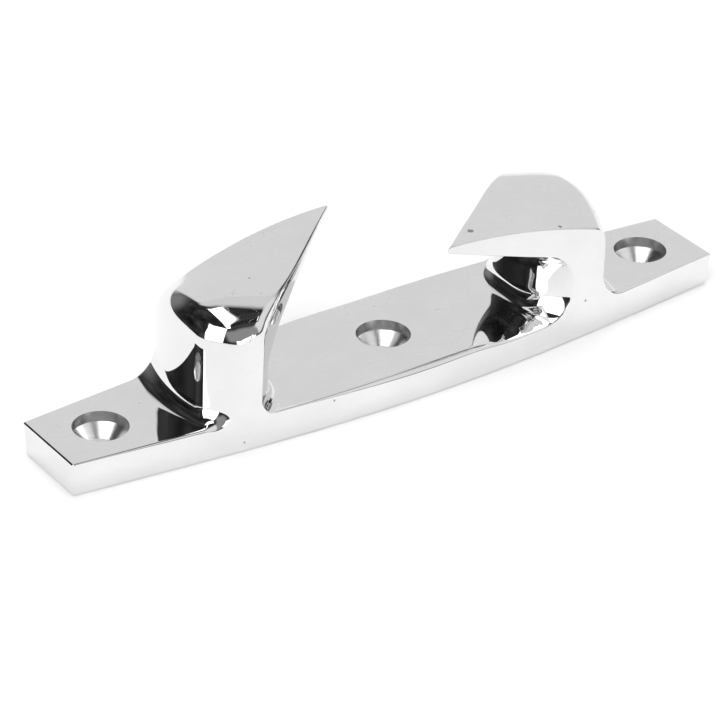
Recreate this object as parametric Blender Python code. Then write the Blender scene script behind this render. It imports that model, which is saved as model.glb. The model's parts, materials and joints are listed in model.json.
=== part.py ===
"""Bow chock: one polished stainless steel casting, a narrow base plate with two hooks that face each other.

The rope lies between the hooks, and drops in through the slanted slot between their tips. The casting looks
the same after half a turn about Z, so one half is drawn and the other half is that half turned round.

+X runs along the plate, +Z is up, and the origin is the middle of the underside. Each half has a flat side,
where the hook's tip is, and a round side, where the hook's outer corner is rolled over.
"""

import math

import bmesh
import bpy
import numpy as np
from mathutils.geometry import delaunay_2d_cdt

# Base plate
LENGTH = 0.1524
WIDTH_MIDDLE = 0.0295
WIDTH_END = 0.0179
PLATE_THICKNESS = 0.0072
PLATE_BOW = 1.34            # how the side swells between the ends: 1 is a parabola, more is fuller
SIDE_DRAFT = 0.0005         # how far each side leans in, from the plate's top down to its underside
END_DRAFT = 0.0004
UNDERSIDE_EDGE_RADIUS = 0.0003    # the same at the plate's ends
EDGE_RADIUS = 0.0007        # polished edges along the plate's sides, outside the hooks
MIDDLE_EDGE_RADIUS = 0.0015 # between the hooks
END_EDGE_RADIUS = 0.0004    # across the plate's ends, larger than the sides' radius there

# Screw holes
HOLE_PITCH = 0.0647
HEAD_DIAMETER = 0.0108
HEAD_WALL = 0.0022          # straight wall above the countersink
SHANK_DIAMETER = 0.0060
COUNTERSINK_ANGLE = math.radians(90.0)

# Hooks
HOOK_HEIGHT = 0.0312        # underside of the plate to the tip
TIP_FROM_MIDDLE = 0.0045
TIP_THICKNESS = 0.0012
CRISP_RADIUS = 0.00025      # the hook's own edges are left crisper than the plate's
SLOT_EDGE_AT_TIP = 0.0009   # radius of the slot's top edge, at the tip
SLOT_EDGE_AT_FOOT = 0.0026  # and where it reaches the round side
TIP_SET_IN = 0.0014         # how far the flat side leans in at the tip, from the plate's edge
OUTER_FACE_FLAT_SIDE = 0.0450     # the outer face's distance from the middle, on the flat side
OUTER_FACE_BULGE = 0.0033         # how far it bulges outwards at its fullest
OUTER_FACE_FULLEST = 0.1          # where that is across the plate: -1 is the flat side, 1 the round side
BACK_ARC_RADIUS = 0.102     # the hook's back, seen from the flat side
BACK_CROWN = 0.0053         # how far the back stands above that arc, at its outer end
CROWN_DIP = 0.0005          # how far it stays below the arc near the tip
CROWN_START = 0.0140        # where the crown starts to rise, from the middle
CROWN_END = 0.0480
CROWN_GATHERING = 1.5       # more than 1 gathers its rise towards the outer end
CROWN_FULLEST = 0.6         # where it is highest across the plate: 0 is the flat side, 1 the round side
CROWN_AT_ROUND_SIDE = 0.3   # what is left of it there
OUTER_CORNER_FLAT_SIDE = 0.0053   # radius between the back and the outer face
OUTER_CORNER_ROUND_SIDE = 0.0059
OUTER_FOOT_FLAT_SIDE = 0.0060     # radius between the outer face and the plate
OUTER_FOOT_ROUND_SIDE = 0.0030
SLOT_BOW = 0.0004           # how far the slanted face swells towards the slot
NOSE_RADIUS = 0.0024        # rolled lower edge of the slanted face
ROLL_OUTER = 0.0057         # radius of the rolled edge on the round side, down the outer face
ROLL_BACK = 0.0034          # its radius where it reaches the back
ROLL_INNER = 0.0026         # and at the slot

# Throat, the round opening under each hook
THROAT_FROM_MIDDLE = 0.0308       # its back, half way across the plate
THROAT_AT_SIDES = 0.0371          # its back at the plate's two sides
THROAT_FLARE_POWER = 3.0
THROAT_ARC_RADIUS = 0.0096
HOOK_UNDERSIDE_SLOPE = 0.325
THROAT_FOOT_RADIUS = 0.0031
THROAT_FOOT_FLAT_SIDE = 0.0075
LEAD_IN_DEPTH = 0.0012            # how far the plate's top rolls down to the flat side, below the tip
LEAD_IN_START = 0.0020            # where it starts along the plate
LEAD_IN_FULL = 0.0230             # and where it has its full width and depth
LEAD_IN_WIDTH = 0.0125

# Fineness of the mesh
ROWS_ACROSS = 11
ROWS_ROUND_EDGE = 4
SECTIONS_READ = 81
WALL_SPACING = 0.005
HOLE_SEGMENTS = 32
STEPS = {"underside": 12, "end_foot": 2, "end_face": 1, "end_edge": 2, "plate_outer": 7, "foot": 6,
         "outer_face": 3, "corner": 7, "back": 10, "slot_edge": 2, "throat": 22, "plate_inner": 9}

HALF_LENGTH = LENGTH / 2
FINE = 40                   # points per stretch before it is spaced out evenly
FINE_THROAT = 320           # the same for the throat, closer together at its top
THROAT_GATHERING = 1.5
SETTLING_STEPS = 20         # rounds in which the outer corner's arc finds the back


def half_width(x, z):
    """Half the width at x and height z: the plate's sides lean out, the hooks' lean in to their tips."""
    share = (x / HALF_LENGTH) ** 2
    swell = 1 - PLATE_BOW * share + (PLATE_BOW - 1) * share**2
    lean = SIDE_DRAFT * np.clip(1 - z / PLATE_THICKNESS, 0, 1)
    height = np.clip((z - PLATE_THICKNESS) / (HOOK_HEIGHT - PLATE_THICKNESS), 0, 1)
    nearness = np.clip((THROAT_AT_SIDES - np.abs(x)) / (THROAT_AT_SIDES - TIP_FROM_MIDDLE), 0, 1)
    return (WIDTH_END + (WIDTH_MIDDLE - WIDTH_END) * swell) / 2 - lean - TIP_SET_IN * height * nearness


def ramp(value, start, end):
    """0 before start, 1 after end, and a smooth rise between them."""
    share = np.clip((value - start) / (end - start), 0, 1)
    return share * share * (3 - 2 * share)


def arc(centre_x, centre_z, radius, start, end):
    angles = np.linspace(start, end, FINE)
    return np.column_stack([centre_x + radius * np.cos(angles), centre_z + radius * np.sin(angles)])


def line(start, end):
    return np.linspace(start, end, FINE)


def spaced(points, steps):
    """The same stretch with evenly spaced points, without its last one."""
    lengths = np.concatenate([[0], np.cumsum(np.hypot(*np.diff(points, axis=0).T))])
    wanted = np.linspace(0, lengths[-1], steps + 1)[:-1]
    return np.column_stack([np.interp(wanted, lengths, points[:, axis]) for axis in (0, 1)])


def back_height(x, side):
    """Height of the hook's back: an arc on the flat side, and a crown on it that fades towards the tip."""
    arc_height = HOOK_HEIGHT - (x - TIP_FROM_MIDDLE) ** 2 / (2 * BACK_ARC_RADIUS)
    share = (side + 1) / 2
    if share < CROWN_FULLEST:
        across = 1 - (1 - share / CROWN_FULLEST) ** 2
    else:
        fall = (share - CROWN_FULLEST) / (1 - CROWN_FULLEST)
        across = 1 - (1 - CROWN_AT_ROUND_SIDE) * fall**2
    along = ramp(x, CROWN_START, CROWN_END) ** CROWN_GATHERING
    rise = (BACK_CROWN + CROWN_DIP) * along - CROWN_DIP
    return arc_height + rise * across


def back_angle(x, side):
    step = 1e-5
    return math.atan((back_height(x - step, side) - back_height(x + step, side)) / (2 * step))


def plate_top(x, side):
    """Height of the plate's top between the hooks: it rolls down to the flat side, under the hook's tip."""
    y = side * half_width(x, PLATE_THICKNESS)
    grown = ramp(x, LEAD_IN_START, LEAD_IN_FULL)
    roll_from = -half_width(x, PLATE_THICKNESS) + LEAD_IN_WIDTH * grown
    depth = LEAD_IN_DEPTH * grown
    share = np.clip((roll_from - y) / LEAD_IN_WIDTH, 0, 1)
    return PLATE_THICKNESS - depth * share**2


def throat_back(side):
    flare = abs(side) ** THROAT_FLARE_POWER
    return THROAT_FROM_MIDDLE + (THROAT_AT_SIDES - THROAT_FROM_MIDDLE) * flare


def slot_face(side):
    """Where the slanted face of the slot crosses this section: from the tip to the back of the throat."""
    share = (side + 1) / 2
    straight = TIP_FROM_MIDDLE + (THROAT_AT_SIDES - TIP_FROM_MIDDLE) * share
    return straight - SLOT_BOW * 4 * share * (1 - share)


def inner_edge(side, top):
    """The hook's inner outline, from its top edge down round the throat to the plate."""
    face = slot_face(side)
    back = throat_back(side)
    flatness = np.clip(-side, 0, 1) ** 2
    foot = THROAT_FOOT_RADIUS + (THROAT_FOOT_FLAT_SIDE - THROAT_FOOT_RADIUS) * flatness
    floor = plate_top(back - foot, side)
    # The underside is a slope that an arc joins to the upright back of the throat.
    slope = math.atan(HOOK_UNDERSIDE_SLOPE)
    under_at_back = HOOK_HEIGHT - TIP_THICKNESS - HOOK_UNDERSIDE_SLOPE * (back - TIP_FROM_MIDDLE)
    arc_low = under_at_back - THROAT_ARC_RADIUS * math.tan((math.pi / 2 - slope) / 2)
    arc_x = back - THROAT_ARC_RADIUS
    arc_high = arc_low + THROAT_ARC_RADIUS * math.cos(slope)
    heights = top - (top - floor - foot) * np.linspace(0, 1, FINE_THROAT) ** THROAT_GATHERING
    on_slope = TIP_FROM_MIDDLE + (HOOK_HEIGHT - TIP_THICKNESS - heights) / HOOK_UNDERSIDE_SLOPE
    rise = np.clip(heights - arc_low, 0, THROAT_ARC_RADIUS)
    on_arc = arc_x + np.sqrt(THROAT_ARC_RADIUS**2 - rise**2)
    throat = np.where(heights > arc_high, on_slope, on_arc)
    # The slanted face and the throat meet in a rolled edge, which dies out at both sides of the plate.
    nose = NOSE_RADIUS * math.sqrt(max(1 - side**2, 0))
    gap = face - throat
    x = (face + throat + np.sqrt(gap**2 + nose**2)) / 2
    x += (face - x[0]) * ramp(-np.arange(len(x)), -FINE, 0)
    foot_arc = arc(x[-1] - foot, floor + foot, foot, 0, -math.pi / 2)
    return np.vstack([np.column_stack([x, heights]), foot_arc[1:]])


def outer_face_at(side):
    """The outer face's distance from the middle: it bulges between the two sides."""
    offset = (side - OUTER_FACE_FULLEST) / (1 + OUTER_FACE_FULLEST)
    return OUTER_FACE_FLAT_SIDE + OUTER_FACE_BULGE * (1 - offset**2)


def section(side):
    """The half's outline in X and Z, side running from -1 on the flat side to 1 on the round side."""
    share = (side + 1) / 2
    outer_face = outer_face_at(side)
    corner = OUTER_CORNER_FLAT_SIDE + (OUTER_CORNER_ROUND_SIDE - OUTER_CORNER_FLAT_SIDE) * share**2
    foot_share = 1 - (1 - share) ** 2
    foot = OUTER_FOOT_FLAT_SIDE + (OUTER_FOOT_ROUND_SIDE - OUTER_FOOT_FLAT_SIDE) * foot_share
    corner_x = outer_face - corner
    corner_start = corner_x
    for _ in range(SETTLING_STEPS):
        corner_start = corner_x + corner * math.sin(back_angle(corner_start, side))
    lean = back_angle(corner_start, side)
    corner_z = back_height(corner_start, side) - corner * math.cos(lean)
    foot_x = outer_face + foot
    foot_z = PLATE_THICKNESS + foot
    low_end = HALF_LENGTH - END_DRAFT
    edge = END_EDGE_RADIUS
    face = slot_face(side)
    top_edge = SLOT_EDGE_AT_TIP + (SLOT_EDGE_AT_FOOT - SLOT_EDGE_AT_TIP) * share**2
    back_x = np.linspace(corner_start, face + top_edge, FINE)
    top_z = back_height(face + top_edge, side) - top_edge
    inner = inner_edge(side, top_z)
    plate_x = np.linspace(inner[-1, 0], 0, FINE)
    stretches = {
        "underside": line((0, 0), (low_end - edge, 0)),
        "end_foot": arc(low_end - edge, edge, edge, -math.pi / 2, 0),
        "end_face": line((low_end, edge), (HALF_LENGTH, PLATE_THICKNESS - edge)),
        "end_edge": arc(HALF_LENGTH - edge, PLATE_THICKNESS - edge, edge, 0, math.pi / 2),
        "plate_outer": line((HALF_LENGTH - edge, PLATE_THICKNESS), (foot_x, PLATE_THICKNESS)),
        "foot": arc(foot_x, foot_z, foot, -math.pi / 2, -math.pi),
        "outer_face": line((outer_face, foot_z), (outer_face, corner_z)),
        "corner": arc(corner_x, corner_z, corner, 0, math.pi / 2 - lean),
        "back": np.column_stack([back_x, back_height(back_x, side)]),
        "slot_edge": arc(face + top_edge, top_z, top_edge, math.pi / 2, math.pi),
        "throat": inner,
        "plate_inner": np.column_stack([plate_x, plate_top(plate_x, side)]),
    }
    return np.vstack([spaced(points, STEPS[name]) for name, points in stretches.items()])


def edge_radii(outer_face, back, slot):
    """The edge radius at each point of the outline, given three of the hook's own."""
    values = {name: (EDGE_RADIUS, EDGE_RADIUS) for name in STEPS}
    values["underside"] = (UNDERSIDE_EDGE_RADIUS, UNDERSIDE_EDGE_RADIUS)
    values["end_foot"] = (UNDERSIDE_EDGE_RADIUS, UNDERSIDE_EDGE_RADIUS)
    values["end_face"] = (UNDERSIDE_EDGE_RADIUS, UNDERSIDE_EDGE_RADIUS)
    values["end_edge"] = (UNDERSIDE_EDGE_RADIUS, UNDERSIDE_EDGE_RADIUS)
    values["plate_outer"] = (UNDERSIDE_EDGE_RADIUS, EDGE_RADIUS)
    values["foot"] = (EDGE_RADIUS, outer_face)
    values["outer_face"] = (outer_face, outer_face)
    values["corner"] = (outer_face, back)
    values["back"] = (back, slot)
    values["slot_edge"] = (slot, CRISP_RADIUS)
    values["throat"] = (CRISP_RADIUS, CRISP_RADIUS)
    values["plate_inner"] = (CRISP_RADIUS, MIDDLE_EDGE_RADIUS)
    stretches = [first + (last - first) * ramp(np.arange(STEPS[name]) / STEPS[name], 0, 1)
                 for name, (first, last) in values.items()]
    return np.concatenate(stretches)


def half_shell():
    """Rows of points from the flat side to the round side: each row is an outline of the half."""
    sides = np.linspace(-1, 1, SECTIONS_READ)
    sections = np.array([section(side) for side in sides])
    count = sections.shape[1]
    radii = {-1: edge_radii(CRISP_RADIUS, CRISP_RADIUS, CRISP_RADIUS),
             1: edge_radii(ROLL_OUTER, ROLL_BACK, ROLL_INNER)}

    def outline_at(across):
        """The outline where each point has its own place across, a share of the half width."""
        return np.array([[np.interp(across[i], sides, sections[:, i, axis]) for axis in (0, 1)]
                         for i in range(count)])

    def edge_row(edge, turn):
        radius = radii[edge]
        # A point's half width needs its outline, and its outline needs its place across.
        outline = sections[-1 if edge > 0 else 0]
        for _ in range(3):
            width = half_width(outline[:, 0], outline[:, 1])
            across = edge * (1 - radius * (1 - math.sin(turn)) / width)
            outline = outline_at(across)
        ahead = np.roll(outline, -1, axis=0)
        behind = np.roll(outline, 1, axis=0)
        ahead[-1] = outline[-1] + (outline[-1] - outline[-2])
        behind[0] = outline[0] - (outline[1] - outline[0])
        along = ahead - behind
        along /= np.linalg.norm(along, axis=1)[:, None]
        inward = np.column_stack([-along[:, 1], along[:, 0]])
        moved = outline + inward * (radius * (1 - math.cos(turn)))[:, None]
        y = edge * (half_width(moved[:, 0], moved[:, 1]) - radius * (1 - math.sin(turn)))
        return np.column_stack([moved[:, 0], y, moved[:, 1]])

    def inner_row(share):
        outline = sections[len(sides) // 2]
        for _ in range(3):
            width = half_width(outline[:, 0], outline[:, 1])
            low = -1 + radii[-1] / width
            high = 1 - radii[1] / width
            across = low + (high - low) * share
            outline = outline_at(across)
        y = across * half_width(outline[:, 0], outline[:, 1])
        return np.column_stack([outline[:, 0], y, outline[:, 1]])

    turns = np.linspace(math.pi / 2, 0, ROWS_ROUND_EDGE + 1)
    rows = [edge_row(-1, turn) for turn in turns]
    rows += [inner_row(share) for share in np.linspace(0, 1, ROWS_ACROSS + 2)[1:-1]]
    rows += [edge_row(1, turn) for turn in turns[::-1]]
    return np.array(rows)


def side_wall(mesh, ring, edge):
    """Fills one side with triangles that follow the plate's curved side."""
    outline = [(vertex.co.x, vertex.co.z) for vertex in ring]
    columns = np.arange(-HALF_LENGTH, HALF_LENGTH, WALL_SPACING)
    levels = np.arange(WALL_SPACING / 2, HOOK_HEIGHT, WALL_SPACING)
    lattice = [(x, z) for x in columns for z in levels if inside(outline, x, z, WALL_SPACING / 2)]
    border = list(range(len(outline)))
    found = delaunay_2d_cdt(outline + lattice, [], [border], 1, 1e-7)
    points, triangles, sources = found[0], found[2], found[3]
    vertices = []
    for point, source in zip(points, sources):
        if source and source[0] < len(ring):
            vertices.append(ring[source[0]])
        else:
            y = edge * half_width(point.x, point.y)
            vertices.append(mesh.verts.new((point.x, y, point.y)))
    for triangle in triangles:
        corners = [vertices[i] for i in triangle]
        mesh.faces.new(corners if edge < 0 else corners[::-1])


def inside(outline, x, z, margin):
    """Whether a point lies inside the outline and further than margin from its border."""
    border = np.array(outline)
    following = np.roll(border, -1, axis=0)
    run = following - border
    to_point = np.array([x, z]) - border
    share = np.clip((to_point * run).sum(axis=1) / (run**2).sum(axis=1), 0, 1)
    if np.linalg.norm(to_point - run * share[:, None], axis=1).min() < margin:
        return False
    crosses = (border[:, 1] > z) != (following[:, 1] > z)
    rise = np.where(crosses, following[:, 1] - border[:, 1], 1)
    crossing_x = border[:, 0] + (z - border[:, 1]) / rise * run[:, 0]
    return bool(np.count_nonzero(crosses & (crossing_x > x)) % 2)


def make_casting():
    right = half_shell()
    turned = right[::-1] * (-1, -1, 1)
    # Both halves share the middle of the underside and the middle of the plate's top.
    top_middle = right[:, -1:] * (0, 1, 1)
    rows = np.concatenate([right, top_middle, turned[:, :0:-1]], axis=1)
    mesh = bmesh.new()
    grid = [[mesh.verts.new(point) for point in row] for row in rows]
    count = len(grid[0])
    for near, far in zip(grid, grid[1:]):
        for i in range(count):
            following = (i + 1) % count
            mesh.faces.new((near[i], near[following], far[following], far[i]))
    side_wall(mesh, grid[0], -1)
    side_wall(mesh, grid[-1], 1)
    bmesh.ops.recalc_face_normals(mesh, faces=mesh.faces)
    return add_object("chock_casting", mesh)


def hole_cutter(name, x):
    """A turned cutter: straight wall for the screw's head, countersink, and clearance for its shank."""
    head = HEAD_DIAMETER / 2
    shank = SHANK_DIAMETER / 2
    cone_top = PLATE_THICKNESS - HEAD_WALL
    cone_foot = cone_top - (head - shank) / math.tan(COUNTERSINK_ANGLE / 2)
    beyond = PLATE_THICKNESS
    profile = [(0, PLATE_THICKNESS + beyond), (head, PLATE_THICKNESS + beyond), (head, cone_top),
               (shank, cone_foot), (shank, -beyond), (0, -beyond)]
    mesh = bmesh.new()
    points = [mesh.verts.new((radius, 0, z)) for radius, z in profile]
    edges = [mesh.edges.new(pair) for pair in zip(points, points[1:])]
    bmesh.ops.spin(mesh, geom=points + edges, cent=(0, 0, 0), axis=(0, 0, 1), angle=2 * math.pi,
                   steps=HOLE_SEGMENTS, use_duplicate=False)
    bmesh.ops.remove_doubles(mesh, verts=mesh.verts, dist=1e-6)
    bmesh.ops.recalc_face_normals(mesh, faces=mesh.faces)
    cutter = add_object(name, mesh)
    cutter.location.x = x
    cutter.hide_render = True
    cutter.display_type = "WIRE"
    return cutter


def add_object(name, mesh):
    data = bpy.data.meshes.new(name)
    mesh.to_mesh(data)
    mesh.free()
    obj = bpy.data.objects.new(name, data)
    bpy.context.scene.collection.objects.link(obj)
    return obj


def polished_steel():
    material = bpy.data.materials.new("polished_stainless_steel")
    material.use_nodes = True
    shader = material.node_tree.nodes["Principled BSDF"]
    shader.inputs["Base Color"].default_value = (0.78, 0.78, 0.78, 1)
    shader.inputs["Metallic"].default_value = 1
    shader.inputs["Roughness"].default_value = 0.06
    return material


def main():
    for obj in list(bpy.data.objects):
        bpy.data.objects.remove(obj, do_unlink=True)
    casting = make_casting()
    for number, x in enumerate((-HOLE_PITCH, 0, HOLE_PITCH), start=1):
        cut = casting.modifiers.new(f"screw_hole_{number}", "BOOLEAN")
        cut.operation = "DIFFERENCE"
        cut.solver = "EXACT"
        cut.object = hole_cutter(f"screw_hole_cutter_{number}", x)
    casting.data.materials.append(polished_steel())
    casting.data.shade_smooth()
    casting.data.set_sharp_from_angle(angle=math.radians(30))


main()
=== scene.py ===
"""Looks of the bow chock: a fine mesh of the casting, its steel, the studio and the camera."""

import json
import math

import bmesh
import bpy
import numpy as np
from mathutils import Matrix, Vector
from mathutils.geometry import delaunay_2d_cdt

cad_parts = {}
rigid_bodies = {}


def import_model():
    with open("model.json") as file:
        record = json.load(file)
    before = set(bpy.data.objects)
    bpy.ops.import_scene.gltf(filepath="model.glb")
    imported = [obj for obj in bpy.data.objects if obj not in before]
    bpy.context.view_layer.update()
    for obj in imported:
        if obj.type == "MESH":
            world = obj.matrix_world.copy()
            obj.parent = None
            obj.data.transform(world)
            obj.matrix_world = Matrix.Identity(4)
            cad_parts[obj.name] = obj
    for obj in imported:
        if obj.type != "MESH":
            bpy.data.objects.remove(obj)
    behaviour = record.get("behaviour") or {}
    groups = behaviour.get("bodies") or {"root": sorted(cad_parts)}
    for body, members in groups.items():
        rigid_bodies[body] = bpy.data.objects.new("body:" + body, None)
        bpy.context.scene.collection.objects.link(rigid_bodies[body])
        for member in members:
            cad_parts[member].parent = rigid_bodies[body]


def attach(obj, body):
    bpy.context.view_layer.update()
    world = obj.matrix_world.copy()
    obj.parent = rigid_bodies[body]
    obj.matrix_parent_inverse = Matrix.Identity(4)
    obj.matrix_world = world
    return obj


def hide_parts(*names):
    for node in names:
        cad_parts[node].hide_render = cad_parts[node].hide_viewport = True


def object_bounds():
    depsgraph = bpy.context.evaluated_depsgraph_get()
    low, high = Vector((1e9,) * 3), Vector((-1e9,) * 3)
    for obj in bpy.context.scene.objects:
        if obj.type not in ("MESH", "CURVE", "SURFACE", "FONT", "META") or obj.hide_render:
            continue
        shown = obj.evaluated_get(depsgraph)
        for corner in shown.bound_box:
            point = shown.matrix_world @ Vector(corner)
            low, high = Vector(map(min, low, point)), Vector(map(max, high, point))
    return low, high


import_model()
cad_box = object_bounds()

# Base plate
LENGTH = 0.1524
WIDTH_MIDDLE = 0.0295
WIDTH_END = 0.0179
PLATE_THICKNESS = 0.0072
PLATE_BOW = 1.34            # how the side swells between the ends: 1 is a parabola, more is fuller
SIDE_DRAFT = 0.0005         # how far each side leans in, from the plate's top down to its underside
END_DRAFT = 0.0004
UNDERSIDE_EDGE_RADIUS = 0.0003    # the same at the plate's ends
EDGE_RADIUS = 0.0007        # polished edges along the plate's sides, outside the hooks
MIDDLE_EDGE_RADIUS = 0.0015       # between the hooks
END_EDGE_RADIUS = 0.0004    # across the plate's ends, larger than the sides' radius there

# Screw holes
HOLE_PITCH = 0.0647
HEAD_DIAMETER = 0.0108
HEAD_WALL = 0.0022          # straight wall above the countersink
SHANK_DIAMETER = 0.0060
COUNTERSINK_ANGLE = math.radians(90.0)

# Hooks
HOOK_HEIGHT = 0.0312        # underside of the plate to the tip
TIP_FROM_MIDDLE = 0.0045
TIP_THICKNESS = 0.0012
CRISP_RADIUS = 0.00025      # the hook's own edges are left crisper than the plate's
SLOT_EDGE_AT_TIP = 0.0009   # radius of the slot's top edge, at the tip
SLOT_EDGE_AT_FOOT = 0.0026  # and where it reaches the round side
TIP_SET_IN = 0.0014         # how far the flat side leans in at the tip, from the plate's edge
OUTER_FACE_FLAT_SIDE = 0.0450     # the outer face's distance from the middle, on the flat side
OUTER_FACE_BULGE = 0.0033         # how far it bulges outwards at its fullest
OUTER_FACE_FULLEST = 0.1          # where that is across: -1 is the flat side, 1 the round side
BACK_ARC_RADIUS = 0.102     # the hook's back, seen from the flat side
BACK_CROWN = 0.0053         # how far the back stands above that arc, at its outer end
CROWN_DIP = 0.0005          # how far it stays below the arc near the tip
CROWN_START = 0.0140        # where the crown starts to rise, from the middle
CROWN_END = 0.0480
CROWN_GATHERING = 1.5       # more than 1 gathers its rise towards the outer end
CROWN_FULLEST = 0.6         # where it is highest across: 0 is the flat side, 1 the round side
CROWN_AT_ROUND_SIDE = 0.3   # what is left of it there
OUTER_CORNER_FLAT_SIDE = 0.0053   # radius between the back and the outer face
OUTER_CORNER_ROUND_SIDE = 0.0059
OUTER_FOOT_FLAT_SIDE = 0.0060     # radius between the outer face and the plate
OUTER_FOOT_ROUND_SIDE = 0.0030
SLOT_BOW = 0.0004           # how far the slanted face swells towards the slot
NOSE_RADIUS = 0.0024        # rolled lower edge of the slanted face
ROLL_OUTER = 0.0057         # radius of the rolled edge on the round side, down the outer face
ROLL_BACK = 0.0034          # its radius where it reaches the back
ROLL_INNER = 0.0026         # and at the slot

# Throat, the round opening under each hook
THROAT_FROM_MIDDLE = 0.0308       # its back, half way across the plate
THROAT_AT_SIDES = 0.0371          # its back at the plate's two sides
THROAT_FLARE_POWER = 3.0
THROAT_ARC_RADIUS = 0.0096
HOOK_UNDERSIDE_SLOPE = 0.325
THROAT_FOOT_RADIUS = 0.0031
THROAT_FOOT_FLAT_SIDE = 0.0075
LEAD_IN_DEPTH = 0.0012            # how far the plate's top rolls down at the side, below the tip
LEAD_IN_START = 0.0020            # where it starts along the plate
LEAD_IN_FULL = 0.0230             # and where it has its full width and depth
LEAD_IN_WIDTH = 0.0125

# Fineness of the mesh
ROWS_ACROSS = 44
ROWS_ROUND_EDGE = 8
SECTIONS_READ = 121
WALL_SPACING = 0.0016
HOLE_SEGMENTS = 96
STEPS = {"underside": 36, "end_foot": 4, "end_face": 4, "end_edge": 5, "plate_outer": 20,
         "foot": 24, "outer_face": 8, "corner": 28, "back": 36, "slot_edge": 5, "throat": 110,
         "plate_inner": 34}

HALF_LENGTH = LENGTH / 2
FINE = 40                   # points per stretch before it is spaced out evenly
FINE_THROAT = 320           # the same for the throat, closer together at its top
THROAT_GATHERING = 1.5
SETTLING_STEPS = 20         # rounds in which the outer corner's arc finds the back
WIDTH_ROUNDS = 3            # rounds in which a row's points find the half width at their height
SLOPE_STEP = 1e-5           # half the run over which the back's slope is read
WALL_TOLERANCE = 1e-7       # points of a side wall that are closer than this are one
CUTTER_TOLERANCE = 1e-6     # the same for a screw hole's cutter
SHARP_ANGLE = math.radians(35)    # edges that turn by more than this are shaded as sharp

# Steel: texture scales are per metre, heights are shares of BUMP_DISTANCE
WAVE_SCALE = 70.0           # slow waves left by the buffing
STREAK_SCALE = 1400.0       # faint streaks along the plate
STREAK_STRETCH = (0.35, 1.0, 1.0)
STREAK_HEIGHT = 0.010
STREAK_GREY = 0.05
HAIR_SCALE = 190.0          # hair scratches
HAIR_WARP_SCALE = 160.0
HAIR_WARP = 0.012           # how far they are bent, in metres
HAIR_FACING = 0.8           # only on faces whose normal points up by more than this
SCRATCH_DEPTH = 0.02
SCRATCH_DARKENING = 0.12
SCRATCH_ROUGHNESS = 0.15
PATCH_SCALE = 120.0         # patches that hold the scratches
PATCH_GREY = 0.08
PIT_SCALE = 260.0
PIT_DEPTH = 0.05
PIT_DARKENING = 0.60
RAGGED_SCALE = 1500.0       # uneven outline of the larger nicks
TURNED_MARGIN = 0.00004     # how far outside a hole's wall its turned finish starts
RING_SCALE = 300.0          # turning marks
RING_GATHERING = 30.0       # how much finer they are down the hole than round it
RING_LEAN = 0.6             # how much the radius counts as depth, for a countersink's rings
RING_DRIFT = 0.6            # how fast they change round the hole
RING_HEIGHT = 0.22
RING_GREY = 0.5
TURNED_GREY = 0.62
# Painted shade inside the holes: this share darkens the straight wall above each countersink.
HOLE_WALL_PAINTED_SHADE = 0.55       # of the straight wall above a countersink
TURNED_ROUGHNESS = 0.24
POLISHED_GREY = 0.735
POLISHED_ROUGHNESS = 0.035
BUMP_STRENGTH = 0.16
BUMP_DISTANCE = 0.0004

# Places and sizes of the larger nicks and pits
NICKS = [
    (0.0131, -0.0092, 0.0307, 0.00080),
    (0.0326, -0.0126, 0.0276, 0.00055),
    (-0.0213, -0.0141, 0.0060, 0.00030),
    (-0.0406, -0.0123, 0.0021, 0.00030),
    (0.0403, -0.0127, 0.0087, 0.00030),
]
NICK_CORE = 1.25            # a nick is at its darkest up to this many times its size
NICK_BORDER = 1.45          # and gone from here on
NICK_STRENGTH = 0.9

# Camera
CAMERA_AZIMUTH = math.radians(-36.097)
CAMERA_ELEVATION = math.radians(30.584)
CAMERA_ROLL = math.radians(2.071)
CAMERA_DISTANCE = 0.6803
CAMERA_LENS = 173.66
CAMERA_SENSOR = 36
AIM_HEIGHT = 0.00762        # the point on the part's vertical axis that the camera aims near
AIM_LEFT = 0.004574         # how far to its left and below it the camera points
AIM_BELOW = 0.005530

# Studio
FLOOR_RADIUS = 3.0
FLOOR_SEGMENTS = 96
FLOOR_GREY = 0.92
OVERHEAD_POWER = 13.0
OVERHEAD_SIZE = 2.0
OVERHEAD_PLACE = (-0.2, 0.2, 1.4)
ROOM_UNEVEN = 0.22          # the dark room's faint glow at its brightest
ROOM_SCALE = 2.5
ROOM_CONTRAST = 3.0
BELOW_FLOOR = 1.05          # level below the horizon, where steel mirrors the floor past its edge
AHEAD_LEAST = 0.01          # how far in front of it a direction must point to meet a window
# Azimuth and elevation of the middle, half width, half height and softness in degrees, strength
WINDOWS = [
    (42.0, 10.0, 34.0, 35.5, 3.0, 0.80),      # white sweep behind the casting
    (42.0, -6.0, 34.0, 20.0, 14.0, 1.05),     # brighter towards its foot
    (92.0, 0.0, 17.0, 26.0, 14.0, 0.22),      # its shaded edge
    (-36.0, 34.0, 34.0, 26.0, 6.0, 0.85),     # large reflector on the right
    (26.0, 50.0, 38.0, 12.0, 4.0, 0.74),      # the sweep's upper edge, further back
    (-155.0, 31.0, 23.0, 30.0, 1.0, 2.6),     # softbox on the left
    (-108.0, 90.0, 6.5, 31.0, 1.0, 2.6),      # long softbox overhead
    (-92.0, 28.0, 30.0, 20.0, 8.0, 0.30),     # grey wall behind the camera
    (-91.0, 5.0, 9.0, 7.0, 1.0, 2.0),         # lamp in front
]


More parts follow.
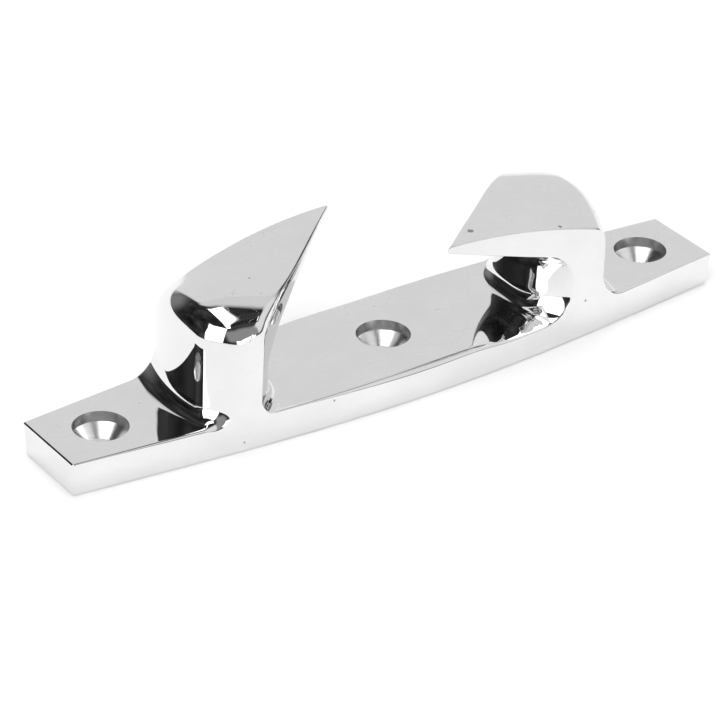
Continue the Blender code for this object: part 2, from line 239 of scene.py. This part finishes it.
def half_width(x, z):
    """Half the width at x and height z: the plate's sides lean out, the hooks' lean in."""
    share = (x / HALF_LENGTH) ** 2
    swell = 1 - PLATE_BOW * share + (PLATE_BOW - 1) * share**2
    lean = SIDE_DRAFT * np.clip(1 - z / PLATE_THICKNESS, 0, 1)
    height = np.clip((z - PLATE_THICKNESS) / (HOOK_HEIGHT - PLATE_THICKNESS), 0, 1)
    nearness = np.clip((THROAT_AT_SIDES - np.abs(x)) / (THROAT_AT_SIDES - TIP_FROM_MIDDLE), 0, 1)
    width = WIDTH_END + (WIDTH_MIDDLE - WIDTH_END) * swell
    return width / 2 - lean - TIP_SET_IN * height * nearness


def ramp(value, start, end):
    """0 before start, 1 after end, and a smooth rise between them."""
    share = np.clip((value - start) / (end - start), 0, 1)
    return share * share * (3 - 2 * share)


def arc(centre_x, centre_z, radius, start, end):
    angles = np.linspace(start, end, FINE)
    return np.column_stack([centre_x + radius * np.cos(angles), centre_z + radius * np.sin(angles)])


def line(start, end):
    return np.linspace(start, end, FINE)


def spaced(points, steps):
    """The same stretch with evenly spaced points, without its last one."""
    lengths = np.concatenate([[0], np.cumsum(np.hypot(*np.diff(points, axis=0).T))])
    wanted = np.linspace(0, lengths[-1], steps + 1)[:-1]
    return np.column_stack([np.interp(wanted, lengths, points[:, axis]) for axis in (0, 1)])


def back_height(x, side):
    """Height of the hook's back: an arc, and across the plate a crown that fades to the tip."""
    arc_height = HOOK_HEIGHT - (x - TIP_FROM_MIDDLE) ** 2 / (2 * BACK_ARC_RADIUS)
    share = (side + 1) / 2
    if share < CROWN_FULLEST:
        across = 1 - (1 - share / CROWN_FULLEST) ** 2
    else:
        fall = (share - CROWN_FULLEST) / (1 - CROWN_FULLEST)
        across = 1 - (1 - CROWN_AT_ROUND_SIDE) * fall**2
    along = ramp(x, CROWN_START, CROWN_END) ** CROWN_GATHERING
    rise = (BACK_CROWN + CROWN_DIP) * along - CROWN_DIP
    return arc_height + rise * across


def back_angle(x, side):
    """How far the back leans down, as an angle from level."""
    fall = back_height(x - SLOPE_STEP, side) - back_height(x + SLOPE_STEP, side)
    return math.atan(fall / (2 * SLOPE_STEP))


def plate_top(x, side):
    """Height of the plate's top between the hooks: below a tip it rolls down to the flat side."""
    y = side * half_width(x, PLATE_THICKNESS)
    grown = ramp(x, LEAD_IN_START, LEAD_IN_FULL)
    roll_from = -half_width(x, PLATE_THICKNESS) + LEAD_IN_WIDTH * grown
    depth = LEAD_IN_DEPTH * grown
    share = np.clip((roll_from - y) / LEAD_IN_WIDTH, 0, 1)
    return PLATE_THICKNESS - depth * share**2


def throat_back(side):
    flare = abs(side) ** THROAT_FLARE_POWER
    return THROAT_FROM_MIDDLE + (THROAT_AT_SIDES - THROAT_FROM_MIDDLE) * flare


def slot_face(side):
    """Where the slot's slanted face crosses this section: from the tip to the throat's back."""
    share = (side + 1) / 2
    straight = TIP_FROM_MIDDLE + (THROAT_AT_SIDES - TIP_FROM_MIDDLE) * share
    return straight - SLOT_BOW * 4 * share * (1 - share)


def inner_edge(side, top):
    """The hook's inner outline, from its top edge down round the throat to the plate."""
    face = slot_face(side)
    back = throat_back(side)
    flatness = np.clip(-side, 0, 1) ** 2
    foot = THROAT_FOOT_RADIUS + (THROAT_FOOT_FLAT_SIDE - THROAT_FOOT_RADIUS) * flatness
    floor = plate_top(back - foot, side)
    # The underside is a slope that an arc joins to the upright back of the throat.
    slope = math.atan(HOOK_UNDERSIDE_SLOPE)
    under_at_back = HOOK_HEIGHT - TIP_THICKNESS - HOOK_UNDERSIDE_SLOPE * (back - TIP_FROM_MIDDLE)
    arc_low = under_at_back - THROAT_ARC_RADIUS * math.tan((math.pi / 2 - slope) / 2)
    arc_x = back - THROAT_ARC_RADIUS
    arc_high = arc_low + THROAT_ARC_RADIUS * math.cos(slope)
    heights = top - (top - floor - foot) * np.linspace(0, 1, FINE_THROAT) ** THROAT_GATHERING
    on_slope = TIP_FROM_MIDDLE + (HOOK_HEIGHT - TIP_THICKNESS - heights) / HOOK_UNDERSIDE_SLOPE
    rise = np.clip(heights - arc_low, 0, THROAT_ARC_RADIUS)
    on_arc = arc_x + np.sqrt(THROAT_ARC_RADIUS**2 - rise**2)
    throat = np.where(heights > arc_high, on_slope, on_arc)
    # The slanted face and the throat meet in a rolled edge, which dies out at both sides.
    nose = NOSE_RADIUS * math.sqrt(max(1 - side**2, 0))
    gap = face - throat
    x = (face + throat + np.sqrt(gap**2 + nose**2)) / 2
    x += (face - x[0]) * ramp(-np.arange(len(x)), -FINE, 0)
    foot_arc = arc(x[-1] - foot, floor + foot, foot, 0, -math.pi / 2)
    return np.vstack([np.column_stack([x, heights]), foot_arc[1:]])


def outer_face_at(side):
    """The outer face's distance from the middle: it bulges between the two sides."""
    offset = (side - OUTER_FACE_FULLEST) / (1 + OUTER_FACE_FULLEST)
    return OUTER_FACE_FLAT_SIDE + OUTER_FACE_BULGE * (1 - offset**2)


def section(side):
    """The half's outline in X and Z; side runs from -1, the flat side, to 1, the round side."""
    share = (side + 1) / 2
    outer_face = outer_face_at(side)
    corner = OUTER_CORNER_FLAT_SIDE + (OUTER_CORNER_ROUND_SIDE - OUTER_CORNER_FLAT_SIDE) * share**2
    foot_share = 1 - (1 - share) ** 2
    foot = OUTER_FOOT_FLAT_SIDE + (OUTER_FOOT_ROUND_SIDE - OUTER_FOOT_FLAT_SIDE) * foot_share
    corner_x = outer_face - corner
    corner_start = corner_x
    for _ in range(SETTLING_STEPS):
        corner_start = corner_x + corner * math.sin(back_angle(corner_start, side))
    lean = back_angle(corner_start, side)
    corner_z = back_height(corner_start, side) - corner * math.cos(lean)
    foot_x = outer_face + foot
    foot_z = PLATE_THICKNESS + foot
    low_end = HALF_LENGTH - END_DRAFT
    edge = END_EDGE_RADIUS
    face = slot_face(side)
    top_edge = SLOT_EDGE_AT_TIP + (SLOT_EDGE_AT_FOOT - SLOT_EDGE_AT_TIP) * share**2
    back_x = np.linspace(corner_start, face + top_edge, FINE)
    top_z = back_height(face + top_edge, side) - top_edge
    inner = inner_edge(side, top_z)
    plate_x = np.linspace(inner[-1, 0], 0, FINE)
    stretches = {
        "underside": line((0, 0), (low_end - edge, 0)),
        "end_foot": arc(low_end - edge, edge, edge, -math.pi / 2, 0),
        "end_face": line((low_end, edge), (HALF_LENGTH, PLATE_THICKNESS - edge)),
        "end_edge": arc(HALF_LENGTH - edge, PLATE_THICKNESS - edge, edge, 0, math.pi / 2),
        "plate_outer": line((HALF_LENGTH - edge, PLATE_THICKNESS), (foot_x, PLATE_THICKNESS)),
        "foot": arc(foot_x, foot_z, foot, -math.pi / 2, -math.pi),
        "outer_face": line((outer_face, foot_z), (outer_face, corner_z)),
        "corner": arc(corner_x, corner_z, corner, 0, math.pi / 2 - lean),
        "back": np.column_stack([back_x, back_height(back_x, side)]),
        "slot_edge": arc(face + top_edge, top_z, top_edge, math.pi / 2, math.pi),
        "throat": inner,
        "plate_inner": np.column_stack([plate_x, plate_top(plate_x, side)]),
    }
    return np.vstack([spaced(points, STEPS[name]) for name, points in stretches.items()])


def edge_radii(outer_face, back, slot):
    """The edge radius at each point of the outline, given three of the hook's own."""
    values = {name: (EDGE_RADIUS, EDGE_RADIUS) for name in STEPS}
    for name in ("underside", "end_foot", "end_face", "end_edge"):
        values[name] = (UNDERSIDE_EDGE_RADIUS, UNDERSIDE_EDGE_RADIUS)
    values["plate_outer"] = (UNDERSIDE_EDGE_RADIUS, EDGE_RADIUS)
    values["foot"] = (EDGE_RADIUS, outer_face)
    values["outer_face"] = (outer_face, outer_face)
    values["corner"] = (outer_face, back)
    values["back"] = (back, slot)
    values["slot_edge"] = (slot, CRISP_RADIUS)
    values["throat"] = (CRISP_RADIUS, CRISP_RADIUS)
    values["plate_inner"] = (CRISP_RADIUS, MIDDLE_EDGE_RADIUS)
    stretches = [first + (last - first) * ramp(np.arange(STEPS[name]) / STEPS[name], 0, 1)
                 for name, (first, last) in values.items()]
    return np.concatenate(stretches)


def half_shell():
    """Rows of points from the flat side to the round side, each an outline of the half."""
    sides = np.linspace(-1, 1, SECTIONS_READ)
    sections = np.array([section(side) for side in sides])
    count = sections.shape[1]
    radii = {-1: edge_radii(CRISP_RADIUS, CRISP_RADIUS, CRISP_RADIUS),
             1: edge_radii(ROLL_OUTER, ROLL_BACK, ROLL_INNER)}

    def outline_at(across):
        """The outline where each point has its own place across, a share of the half width."""
        return np.array([[np.interp(across[i], sides, sections[:, i, axis]) for axis in (0, 1)]
                         for i in range(count)])

    def edge_row(edge, turn):
        radius = radii[edge]
        # A point's half width needs its outline, and its outline needs its place across.
        outline = sections[-1 if edge > 0 else 0]
        for _ in range(WIDTH_ROUNDS):
            width = half_width(outline[:, 0], outline[:, 1])
            across = edge * (1 - radius * (1 - math.sin(turn)) / width)
            outline = outline_at(across)
        ahead = np.roll(outline, -1, axis=0)
        behind = np.roll(outline, 1, axis=0)
        ahead[-1] = outline[-1] + (outline[-1] - outline[-2])
        behind[0] = outline[0] - (outline[1] - outline[0])
        along = ahead - behind
        along /= np.linalg.norm(along, axis=1)[:, None]
        inward = np.column_stack([-along[:, 1], along[:, 0]])
        moved = outline + inward * (radius * (1 - math.cos(turn)))[:, None]
        y = edge * (half_width(moved[:, 0], moved[:, 1]) - radius * (1 - math.sin(turn)))
        return np.column_stack([moved[:, 0], y, moved[:, 1]])

    def inner_row(share):
        outline = sections[len(sides) // 2]
        for _ in range(WIDTH_ROUNDS):
            width = half_width(outline[:, 0], outline[:, 1])
            low = -1 + radii[-1] / width
            high = 1 - radii[1] / width
            across = low + (high - low) * share
            outline = outline_at(across)
        y = across * half_width(outline[:, 0], outline[:, 1])
        return np.column_stack([outline[:, 0], y, outline[:, 1]])

    turns = np.linspace(math.pi / 2, 0, ROWS_ROUND_EDGE + 1)
    rows = [edge_row(-1, turn) for turn in turns]
    rows += [inner_row(share) for share in np.linspace(0, 1, ROWS_ACROSS + 2)[1:-1]]
    rows += [edge_row(1, turn) for turn in turns[::-1]]
    return np.array(rows)


def side_wall(mesh, ring, edge):
    """Fills one side with triangles that follow the plate's curved side."""
    outline = [(vertex.co.x, vertex.co.z) for vertex in ring]
    columns = np.arange(-HALF_LENGTH, HALF_LENGTH, WALL_SPACING)
    levels = np.arange(WALL_SPACING / 2, HOOK_HEIGHT, WALL_SPACING)
    lattice = [(x, z) for x in columns for z in levels
               if inside(outline, x, z, WALL_SPACING / 2)]
    border = list(range(len(outline)))
    found = delaunay_2d_cdt(outline + lattice, [], [border], 1, WALL_TOLERANCE)
    points, triangles, sources = found[0], found[2], found[3]
    vertices = []
    for point, source in zip(points, sources):
        if source and source[0] < len(ring):
            vertices.append(ring[source[0]])
        else:
            y = edge * half_width(point.x, point.y)
            vertices.append(mesh.verts.new((point.x, y, point.y)))
    for triangle in triangles:
        corners = [vertices[i] for i in triangle]
        mesh.faces.new(corners if edge < 0 else corners[::-1])


def inside(outline, x, z, margin):
    """Whether a point lies inside the outline and further than margin from its border."""
    border = np.array(outline)
    following = np.roll(border, -1, axis=0)
    run = following - border
    to_point = np.array([x, z]) - border
    share = np.clip((to_point * run).sum(axis=1) / (run**2).sum(axis=1), 0, 1)
    if np.linalg.norm(to_point - run * share[:, None], axis=1).min() < margin:
        return False
    crosses = (border[:, 1] > z) != (following[:, 1] > z)
    rise = np.where(crosses, following[:, 1] - border[:, 1], 1)
    crossing_x = border[:, 0] + (z - border[:, 1]) / rise * run[:, 0]
    return bool(np.count_nonzero(crosses & (crossing_x > x)) % 2)


def make_casting():
    right = half_shell()
    turned = right[::-1] * (-1, -1, 1)
    # Both halves share the middle of the underside and the middle of the plate's top.
    top_middle = right[:, -1:] * (0, 1, 1)
    rows = np.concatenate([right, top_middle, turned[:, :0:-1]], axis=1)
    mesh = bmesh.new()
    grid = [[mesh.verts.new(point) for point in row] for row in rows]
    count = len(grid[0])
    for near, far in zip(grid, grid[1:]):
        for i in range(count):
            following = (i + 1) % count
            mesh.faces.new((near[i], near[following], far[following], far[i]))
    side_wall(mesh, grid[0], -1)
    side_wall(mesh, grid[-1], 1)
    bmesh.ops.recalc_face_normals(mesh, faces=mesh.faces)
    return add_object("chock_casting", mesh)


def hole_cutter(name, x):
    """A turned cutter: straight wall for the screw's head, countersink, clearance for its shank."""
    head = HEAD_DIAMETER / 2
    shank = SHANK_DIAMETER / 2
    cone_top = PLATE_THICKNESS - HEAD_WALL
    cone_foot = cone_top - (head - shank) / math.tan(COUNTERSINK_ANGLE / 2)
    beyond = PLATE_THICKNESS
    above = PLATE_THICKNESS + beyond
    profile = [(0, above), (head, above), (head, cone_top),
               (shank, cone_foot), (shank, -beyond), (0, -beyond)]
    mesh = bmesh.new()
    points = [mesh.verts.new((radius, 0, z)) for radius, z in profile]
    edges = [mesh.edges.new(pair) for pair in zip(points, points[1:])]
    bmesh.ops.spin(mesh, geom=points + edges, cent=(0, 0, 0), axis=(0, 0, 1),
                   angle=2 * math.pi, steps=HOLE_SEGMENTS, use_duplicate=False)
    bmesh.ops.remove_doubles(mesh, verts=mesh.verts, dist=CUTTER_TOLERANCE)
    bmesh.ops.recalc_face_normals(mesh, faces=mesh.faces)
    cutter = add_object(name, mesh)
    cutter.location.x = x
    return cutter


def add_object(name, mesh):
    data = bpy.data.meshes.new(name)
    mesh.to_mesh(data)
    mesh.free()
    obj = bpy.data.objects.new(name, data)
    bpy.context.scene.collection.objects.link(obj)
    return obj


class Nodes:
    """Short calls for building a node tree."""

    def __init__(self, tree):
        self.tree = tree
        self.tree.nodes.clear()

    def add(self, kind, inputs=None, **settings):
        node = self.tree.nodes.new(kind)
        for key, value in settings.items():
            setattr(node, key, value)
        for key, value in (inputs or {}).items():
            if isinstance(value, bpy.types.NodeSocket):
                self.tree.links.new(value, node.inputs[key])
            else:
                node.inputs[key].default_value = value
        return node

    def math(self, operation, first, second=0.0, third=0.0):
        inputs = {0: first, 1: second}
        if operation == "MULTIPLY_ADD":
            inputs[2] = third
        return self.add("ShaderNodeMath", inputs, operation=operation).outputs[0]

    def ramp(self, value, stops):
        node = self.add("ShaderNodeValToRGB", {"Fac": value})
        elements = node.color_ramp.elements
        while len(elements) < len(stops):
            elements.new(0.5)
        for element, (place, grey) in zip(elements, stops):
            element.position = place
            element.color = (grey, grey, grey, 1)
        return node.outputs["Color"]


def polished_steel():
    """Mirror-polished cast stainless steel, with turned screw holes, painted shade on the holes'
    straight walls, and the marks of handling.
    """
    material = bpy.data.materials.new("polished_stainless_steel")
    material.use_nodes = True
    nodes = Nodes(material.node_tree)
    place = nodes.add("ShaderNodeTexCoord").outputs["Object"]
    axes = nodes.add("ShaderNodeSeparateXYZ", {0: place})
    # Distance from the nearest screw hole's axis.
    shifted = nodes.math("ADD", axes.outputs["X"], HOLE_PITCH / 2)
    nearest = nodes.math("SNAP", shifted, HOLE_PITCH)
    across = nodes.add("ShaderNodeCombineXYZ", {
        "X": nodes.math("SUBTRACT", axes.outputs["X"], nearest),
        "Y": axes.outputs["Y"]}).outputs[0]
    radius = nodes.add("ShaderNodeVectorMath", {0: across}, operation="LENGTH").outputs["Value"]
    turned = nodes.math("LESS_THAN", radius, HEAD_DIAMETER / 2 + TURNED_MARGIN)

    # Polish: slow waves, a faint haze of streaks along the plate, a few hair scratches in patches.
    waves = nodes.add("ShaderNodeTexNoise", {
        "Vector": place, "Scale": WAVE_SCALE, "Detail": 1.0, "Roughness": 0.4})
    streak_place = nodes.add("ShaderNodeVectorMath", {0: place, 1: STREAK_STRETCH},
                             operation="MULTIPLY")
    streaks = nodes.add("ShaderNodeTexNoise", {
        "Vector": streak_place.outputs[0], "Scale": STREAK_SCALE, "Detail": 3.0, "Roughness": 0.6})
    warp = nodes.add("ShaderNodeTexNoise", {
        "Vector": place, "Scale": HAIR_WARP_SCALE, "Detail": 1.0})
    bent = nodes.add("ShaderNodeVectorMath", {
        0: warp.outputs["Color"], 1: (HAIR_WARP, HAIR_WARP, HAIR_WARP), 2: place},
        operation="MULTIPLY_ADD")
    cells = nodes.add("ShaderNodeTexVoronoi", {"Vector": bent.outputs[0], "Scale": HAIR_SCALE},
                      feature="DISTANCE_TO_EDGE")
    hair = nodes.ramp(cells.outputs["Distance"], [(0.0, 1.0), (0.004, 0.4), (0.010, 0.0)])
    patches = nodes.add("ShaderNodeTexNoise", {
        "Vector": place, "Scale": PATCH_SCALE, "Detail": 2.0})
    where = nodes.ramp(patches.outputs["Fac"], [(0.0, 0.0), (0.50, 0.0), (0.58, 1.0)])
    geometry = nodes.add("ShaderNodeNewGeometry")
    facing = nodes.add("ShaderNodeSeparateXYZ", {0: geometry.outputs["True Normal"]})
    on_top = nodes.math("GREATER_THAN", facing.outputs["Z"], HAIR_FACING)
    scratches = nodes.math("MULTIPLY", nodes.math("MULTIPLY", hair, where), on_top)

    # Small pits, here and there.
    pits = nodes.add("ShaderNodeTexVoronoi", {"Vector": place, "Scale": PIT_SCALE})
    pit_near = nodes.ramp(pits.outputs["Distance"], [(0.0, 1.0), (0.045, 0.9), (0.07, 0.0)])
    pit_chance = nodes.ramp(pits.outputs["Color"], [(0.0, 0.0), (0.80, 0.0), (0.81, 1.0)])
    pitting = nodes.math("MULTIPLY", pit_near, pit_chance)

    # Nicks and casting pits that the polishing left.
    ragged = nodes.add("ShaderNodeTexNoise", {
        "Vector": place, "Scale": RAGGED_SCALE, "Detail": 1.0})
    for x, y, z, size in NICKS:
        apart = nodes.add("ShaderNodeVectorMath", {0: place, 1: (x, y, z)}, operation="DISTANCE")
        uneven = nodes.math("MULTIPLY_ADD", ragged.outputs["Fac"], size, apart.outputs["Value"])
        nick = nodes.add("ShaderNodeMapRange", {
            "Value": uneven, "From Min": NICK_CORE * size, "From Max": NICK_BORDER * size,
            "To Min": NICK_STRENGTH, "To Max": 0.0})
        pitting = nodes.math("MAXIMUM", pitting, nick.outputs["Result"])

    # Turning marks: rings down the holes' walls and round their countersinks.
    depth = nodes.math("ADD", axes.outputs["Z"], nodes.math("MULTIPLY", radius, RING_LEAN))
    ring_place = nodes.add("ShaderNodeCombineXYZ", {
        "X": nodes.math("MULTIPLY", depth, RING_GATHERING),
        "Y": nodes.math("MULTIPLY", axes.outputs["Y"], RING_DRIFT),
        "Z": nodes.math("MULTIPLY", axes.outputs["X"], RING_DRIFT)}).outputs[0]
    rings = nodes.add("ShaderNodeTexNoise", {
        "Vector": ring_place, "Scale": RING_SCALE, "Detail": 4.0, "Roughness": 0.7})

    height = nodes.math("ADD", waves.outputs["Fac"],
                        nodes.math("MULTIPLY", streaks.outputs["Fac"], STREAK_HEIGHT))
    marks = nodes.math("MULTIPLY_ADD", scratches, -SCRATCH_DEPTH,
                       nodes.math("MULTIPLY", pitting, -PIT_DEPTH))
    ring_height = nodes.math("MULTIPLY", nodes.math("MULTIPLY", rings.outputs["Fac"], turned),
                             RING_HEIGHT)
    relief = nodes.math("ADD", nodes.math("ADD", height, marks), ring_height)
    bump = nodes.add("ShaderNodeBump", {
        "Height": relief, "Strength": BUMP_STRENGTH, "Distance": BUMP_DISTANCE})

    dark = nodes.math("ADD", nodes.math("MULTIPLY", pitting, PIT_DARKENING),
                      nodes.math("MULTIPLY", scratches, SCRATCH_DARKENING))
    mottle = nodes.math("MULTIPLY_ADD", streaks.outputs["Fac"], STREAK_GREY,
                        nodes.math("MULTIPLY", patches.outputs["Fac"], PATCH_GREY))
    polished = nodes.math("SUBTRACT", nodes.math("ADD", mottle, POLISHED_GREY), dark)
    # Painted shade: the straight wall above each countersink is darkened, on top of its turned
    # grey.
    on_wall = nodes.math("GREATER_THAN", axes.outputs["Z"], PLATE_THICKNESS - HEAD_WALL)
    ringed = nodes.math("MULTIPLY_ADD", rings.outputs["Fac"], RING_GREY, TURNED_GREY)
    turned_grey_with_painted_shade = nodes.math("MULTIPLY", ringed,
                          nodes.math("MULTIPLY_ADD", on_wall, -HOLE_WALL_PAINTED_SHADE, 1.0))
    grey = nodes.add("ShaderNodeMix", {0: turned, 2: polished, 3: turned_grey_with_painted_shade}).outputs[0]
    colour = nodes.add("ShaderNodeCombineColor", {"Red": grey, "Green": grey, "Blue": grey})
    smooth = nodes.math("MULTIPLY_ADD", scratches, SCRATCH_ROUGHNESS, POLISHED_ROUGHNESS)
    roughness = nodes.add("ShaderNodeMix", {0: turned, 2: smooth, 3: TURNED_ROUGHNESS})
    shader = nodes.add("ShaderNodeBsdfPrincipled", {
        "Base Color": colour.outputs[0], "Metallic": 1.0, "Roughness": roughness.outputs[0],
        "Normal": bump.outputs[0]})
    nodes.add("ShaderNodeOutputMaterial", {"Surface": shader.outputs[0]})
    return material


def build_casting():
    casting = make_casting()
    for number, x in enumerate((-HOLE_PITCH, 0, HOLE_PITCH), start=1):
        cut = casting.modifiers.new(f"screw_hole_{number}", "BOOLEAN")
        cut.operation = "DIFFERENCE"
        cut.solver = "EXACT"
        cut.object = hole_cutter(f"screw_hole_cutter_{number}", x)
    evaluated = casting.evaluated_get(bpy.context.evaluated_depsgraph_get())
    cut_mesh = bpy.data.meshes.new_from_object(evaluated)
    casting.modifiers.clear()
    casting.data = cut_mesh
    for obj in [obj for obj in bpy.data.objects if obj.name.startswith("screw_hole_cutter")]:
        bpy.data.objects.remove(obj, do_unlink=True)
    # The fine mesh is fitted to the part's own box.
    low, high = cad_box
    corners = np.array([vertex.co for vertex in cut_mesh.vertices])
    fit = [(high[i] - low[i]) / (corners[:, i].max() - corners[:, i].min()) for i in range(3)]
    cut_mesh.transform(Matrix.Diagonal((*fit, 1)))
    casting.name = "polished_casting"
    casting.data.materials.clear()
    casting.data.materials.append(polished_steel())
    casting.data.shade_smooth()
    casting.data.set_sharp_from_angle(angle=SHARP_ANGLE)
    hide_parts("chock_casting")
    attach(casting, "root")


def build_floor():
    mesh = bmesh.new()
    bmesh.ops.create_circle(mesh, cap_ends=True, segments=FLOOR_SEGMENTS, radius=FLOOR_RADIUS)
    floor = add_object("studio_floor", mesh)
    material = bpy.data.materials.new("white_floor")
    material.use_nodes = True
    nodes = Nodes(material.node_tree)
    shader = nodes.add("ShaderNodeBsdfDiffuse", {
        "Color": (FLOOR_GREY, FLOOR_GREY, FLOOR_GREY, 1)})
    nodes.add("ShaderNodeOutputMaterial", {"Surface": shader.outputs[0]})
    floor.data.materials.append(material)


def build_camera():
    sideways = math.cos(CAMERA_ELEVATION)
    back = Vector((math.sin(CAMERA_AZIMUTH) * sideways, -math.cos(CAMERA_AZIMUTH) * sideways,
                   math.sin(CAMERA_ELEVATION)))
    right = Vector((math.cos(CAMERA_AZIMUTH), math.sin(CAMERA_AZIMUTH), 0))
    up = back.cross(right)
    turned_right = math.cos(CAMERA_ROLL) * right + math.sin(CAMERA_ROLL) * up
    turned_up = -math.sin(CAMERA_ROLL) * right + math.cos(CAMERA_ROLL) * up
    aim = Vector((0, 0, AIM_HEIGHT)) - AIM_LEFT * turned_right - AIM_BELOW * turned_up
    data = bpy.data.cameras.new("camera")
    data.lens = CAMERA_LENS
    data.sensor_width = CAMERA_SENSOR
    camera = bpy.data.objects.new("camera", data)
    place = aim + CAMERA_DISTANCE * back
    camera.matrix_world = Matrix((
        (turned_right.x, turned_up.x, back.x, place.x),
        (turned_right.y, turned_up.y, back.y, place.y),
        (turned_right.z, turned_up.z, back.z, place.z),
        (0, 0, 0, 1)))
    bpy.context.scene.collection.objects.link(camera)
    bpy.context.scene.camera = camera


def build_floor_light():
    """Lights the floor to white from overhead, without showing in the steel."""
    data = bpy.data.lights.new("overhead", "AREA")
    data.shape = "DISK"
    data.size = OVERHEAD_SIZE
    data.energy = OVERHEAD_POWER
    light = bpy.data.objects.new("overhead", data)
    light.location = OVERHEAD_PLACE
    light.visible_glossy = False
    bpy.context.scene.collection.objects.link(light)


def step_down(nodes, value, edge, softness):
    """1 below the edge, 0 above it, with a smooth step between."""
    return nodes.add("ShaderNodeMapRange", {
        "Value": value, "From Min": edge - softness, "From Max": edge + softness,
        "To Min": 1.0, "To Max": 0.0}, interpolation_type="SMOOTHSTEP").outputs["Result"]


def window(nodes, direction, azimuth, elevation, width, height, softness):
    """1 where a direction points into an upright window of these half sizes, all in degrees."""
    turn = math.radians(azimuth)
    rise = math.radians(elevation)
    blur = math.radians(softness)
    front = (math.cos(turn) * math.cos(rise), math.sin(turn) * math.cos(rise), math.sin(rise))
    right = (math.sin(turn), -math.cos(turn), 0.0)
    up = tuple(Vector(right).cross(Vector(front)))
    ahead, sideways, upwards = (
        nodes.add("ShaderNodeVectorMath", {0: direction, 1: axis},
                  operation="DOT_PRODUCT").outputs["Value"]
        for axis in (front, right, up))
    mask = nodes.math("GREATER_THAN", ahead, AHEAD_LEAST)
    for offset, half in ((sideways, width), (upwards, height)):
        angle = nodes.math("ABSOLUTE", nodes.math("ARCTAN2", offset, ahead))
        mask = nodes.math("MULTIPLY", mask, step_down(nodes, angle, math.radians(half), blur))
    return mask


def build_world():
    """A dark room with a white sweep behind the casting and softboxes over it."""
    world = bpy.data.worlds.new("studio")
    world.use_nodes = True
    bpy.context.scene.world = world
    nodes = Nodes(world.node_tree)
    direction = nodes.add("ShaderNodeTexCoord").outputs["Generated"]
    axes = nodes.add("ShaderNodeSeparateXYZ", {0: direction})
    uneven = nodes.add("ShaderNodeTexNoise", {
        "Vector": direction, "Scale": ROOM_SCALE, "Detail": 4.0}).outputs["Fac"]
    light = nodes.math("MULTIPLY", nodes.math("POWER", uneven, ROOM_CONTRAST), ROOM_UNEVEN)
    for azimuth, elevation, width, height, softness, strength in WINDOWS:
        mask = window(nodes, direction, azimuth, elevation, width, height, softness)
        light = nodes.math("MAXIMUM", light, nodes.math("MULTIPLY", mask, strength))
    below = nodes.math("LESS_THAN", axes.outputs["Z"], 0.0)
    light = nodes.math("MAXIMUM", light, nodes.math("MULTIPLY", below, BELOW_FLOOR))
    shader = nodes.add("ShaderNodeBackground", {"Color": (1, 1, 1, 1), "Strength": light})
    nodes.add("ShaderNodeOutputWorld", {"Surface": shader.outputs[0]})


build_camera()
build_casting()
build_floor()
build_floor_light()
build_world()
bpy.context.scene.view_settings.view_transform = "Standard"
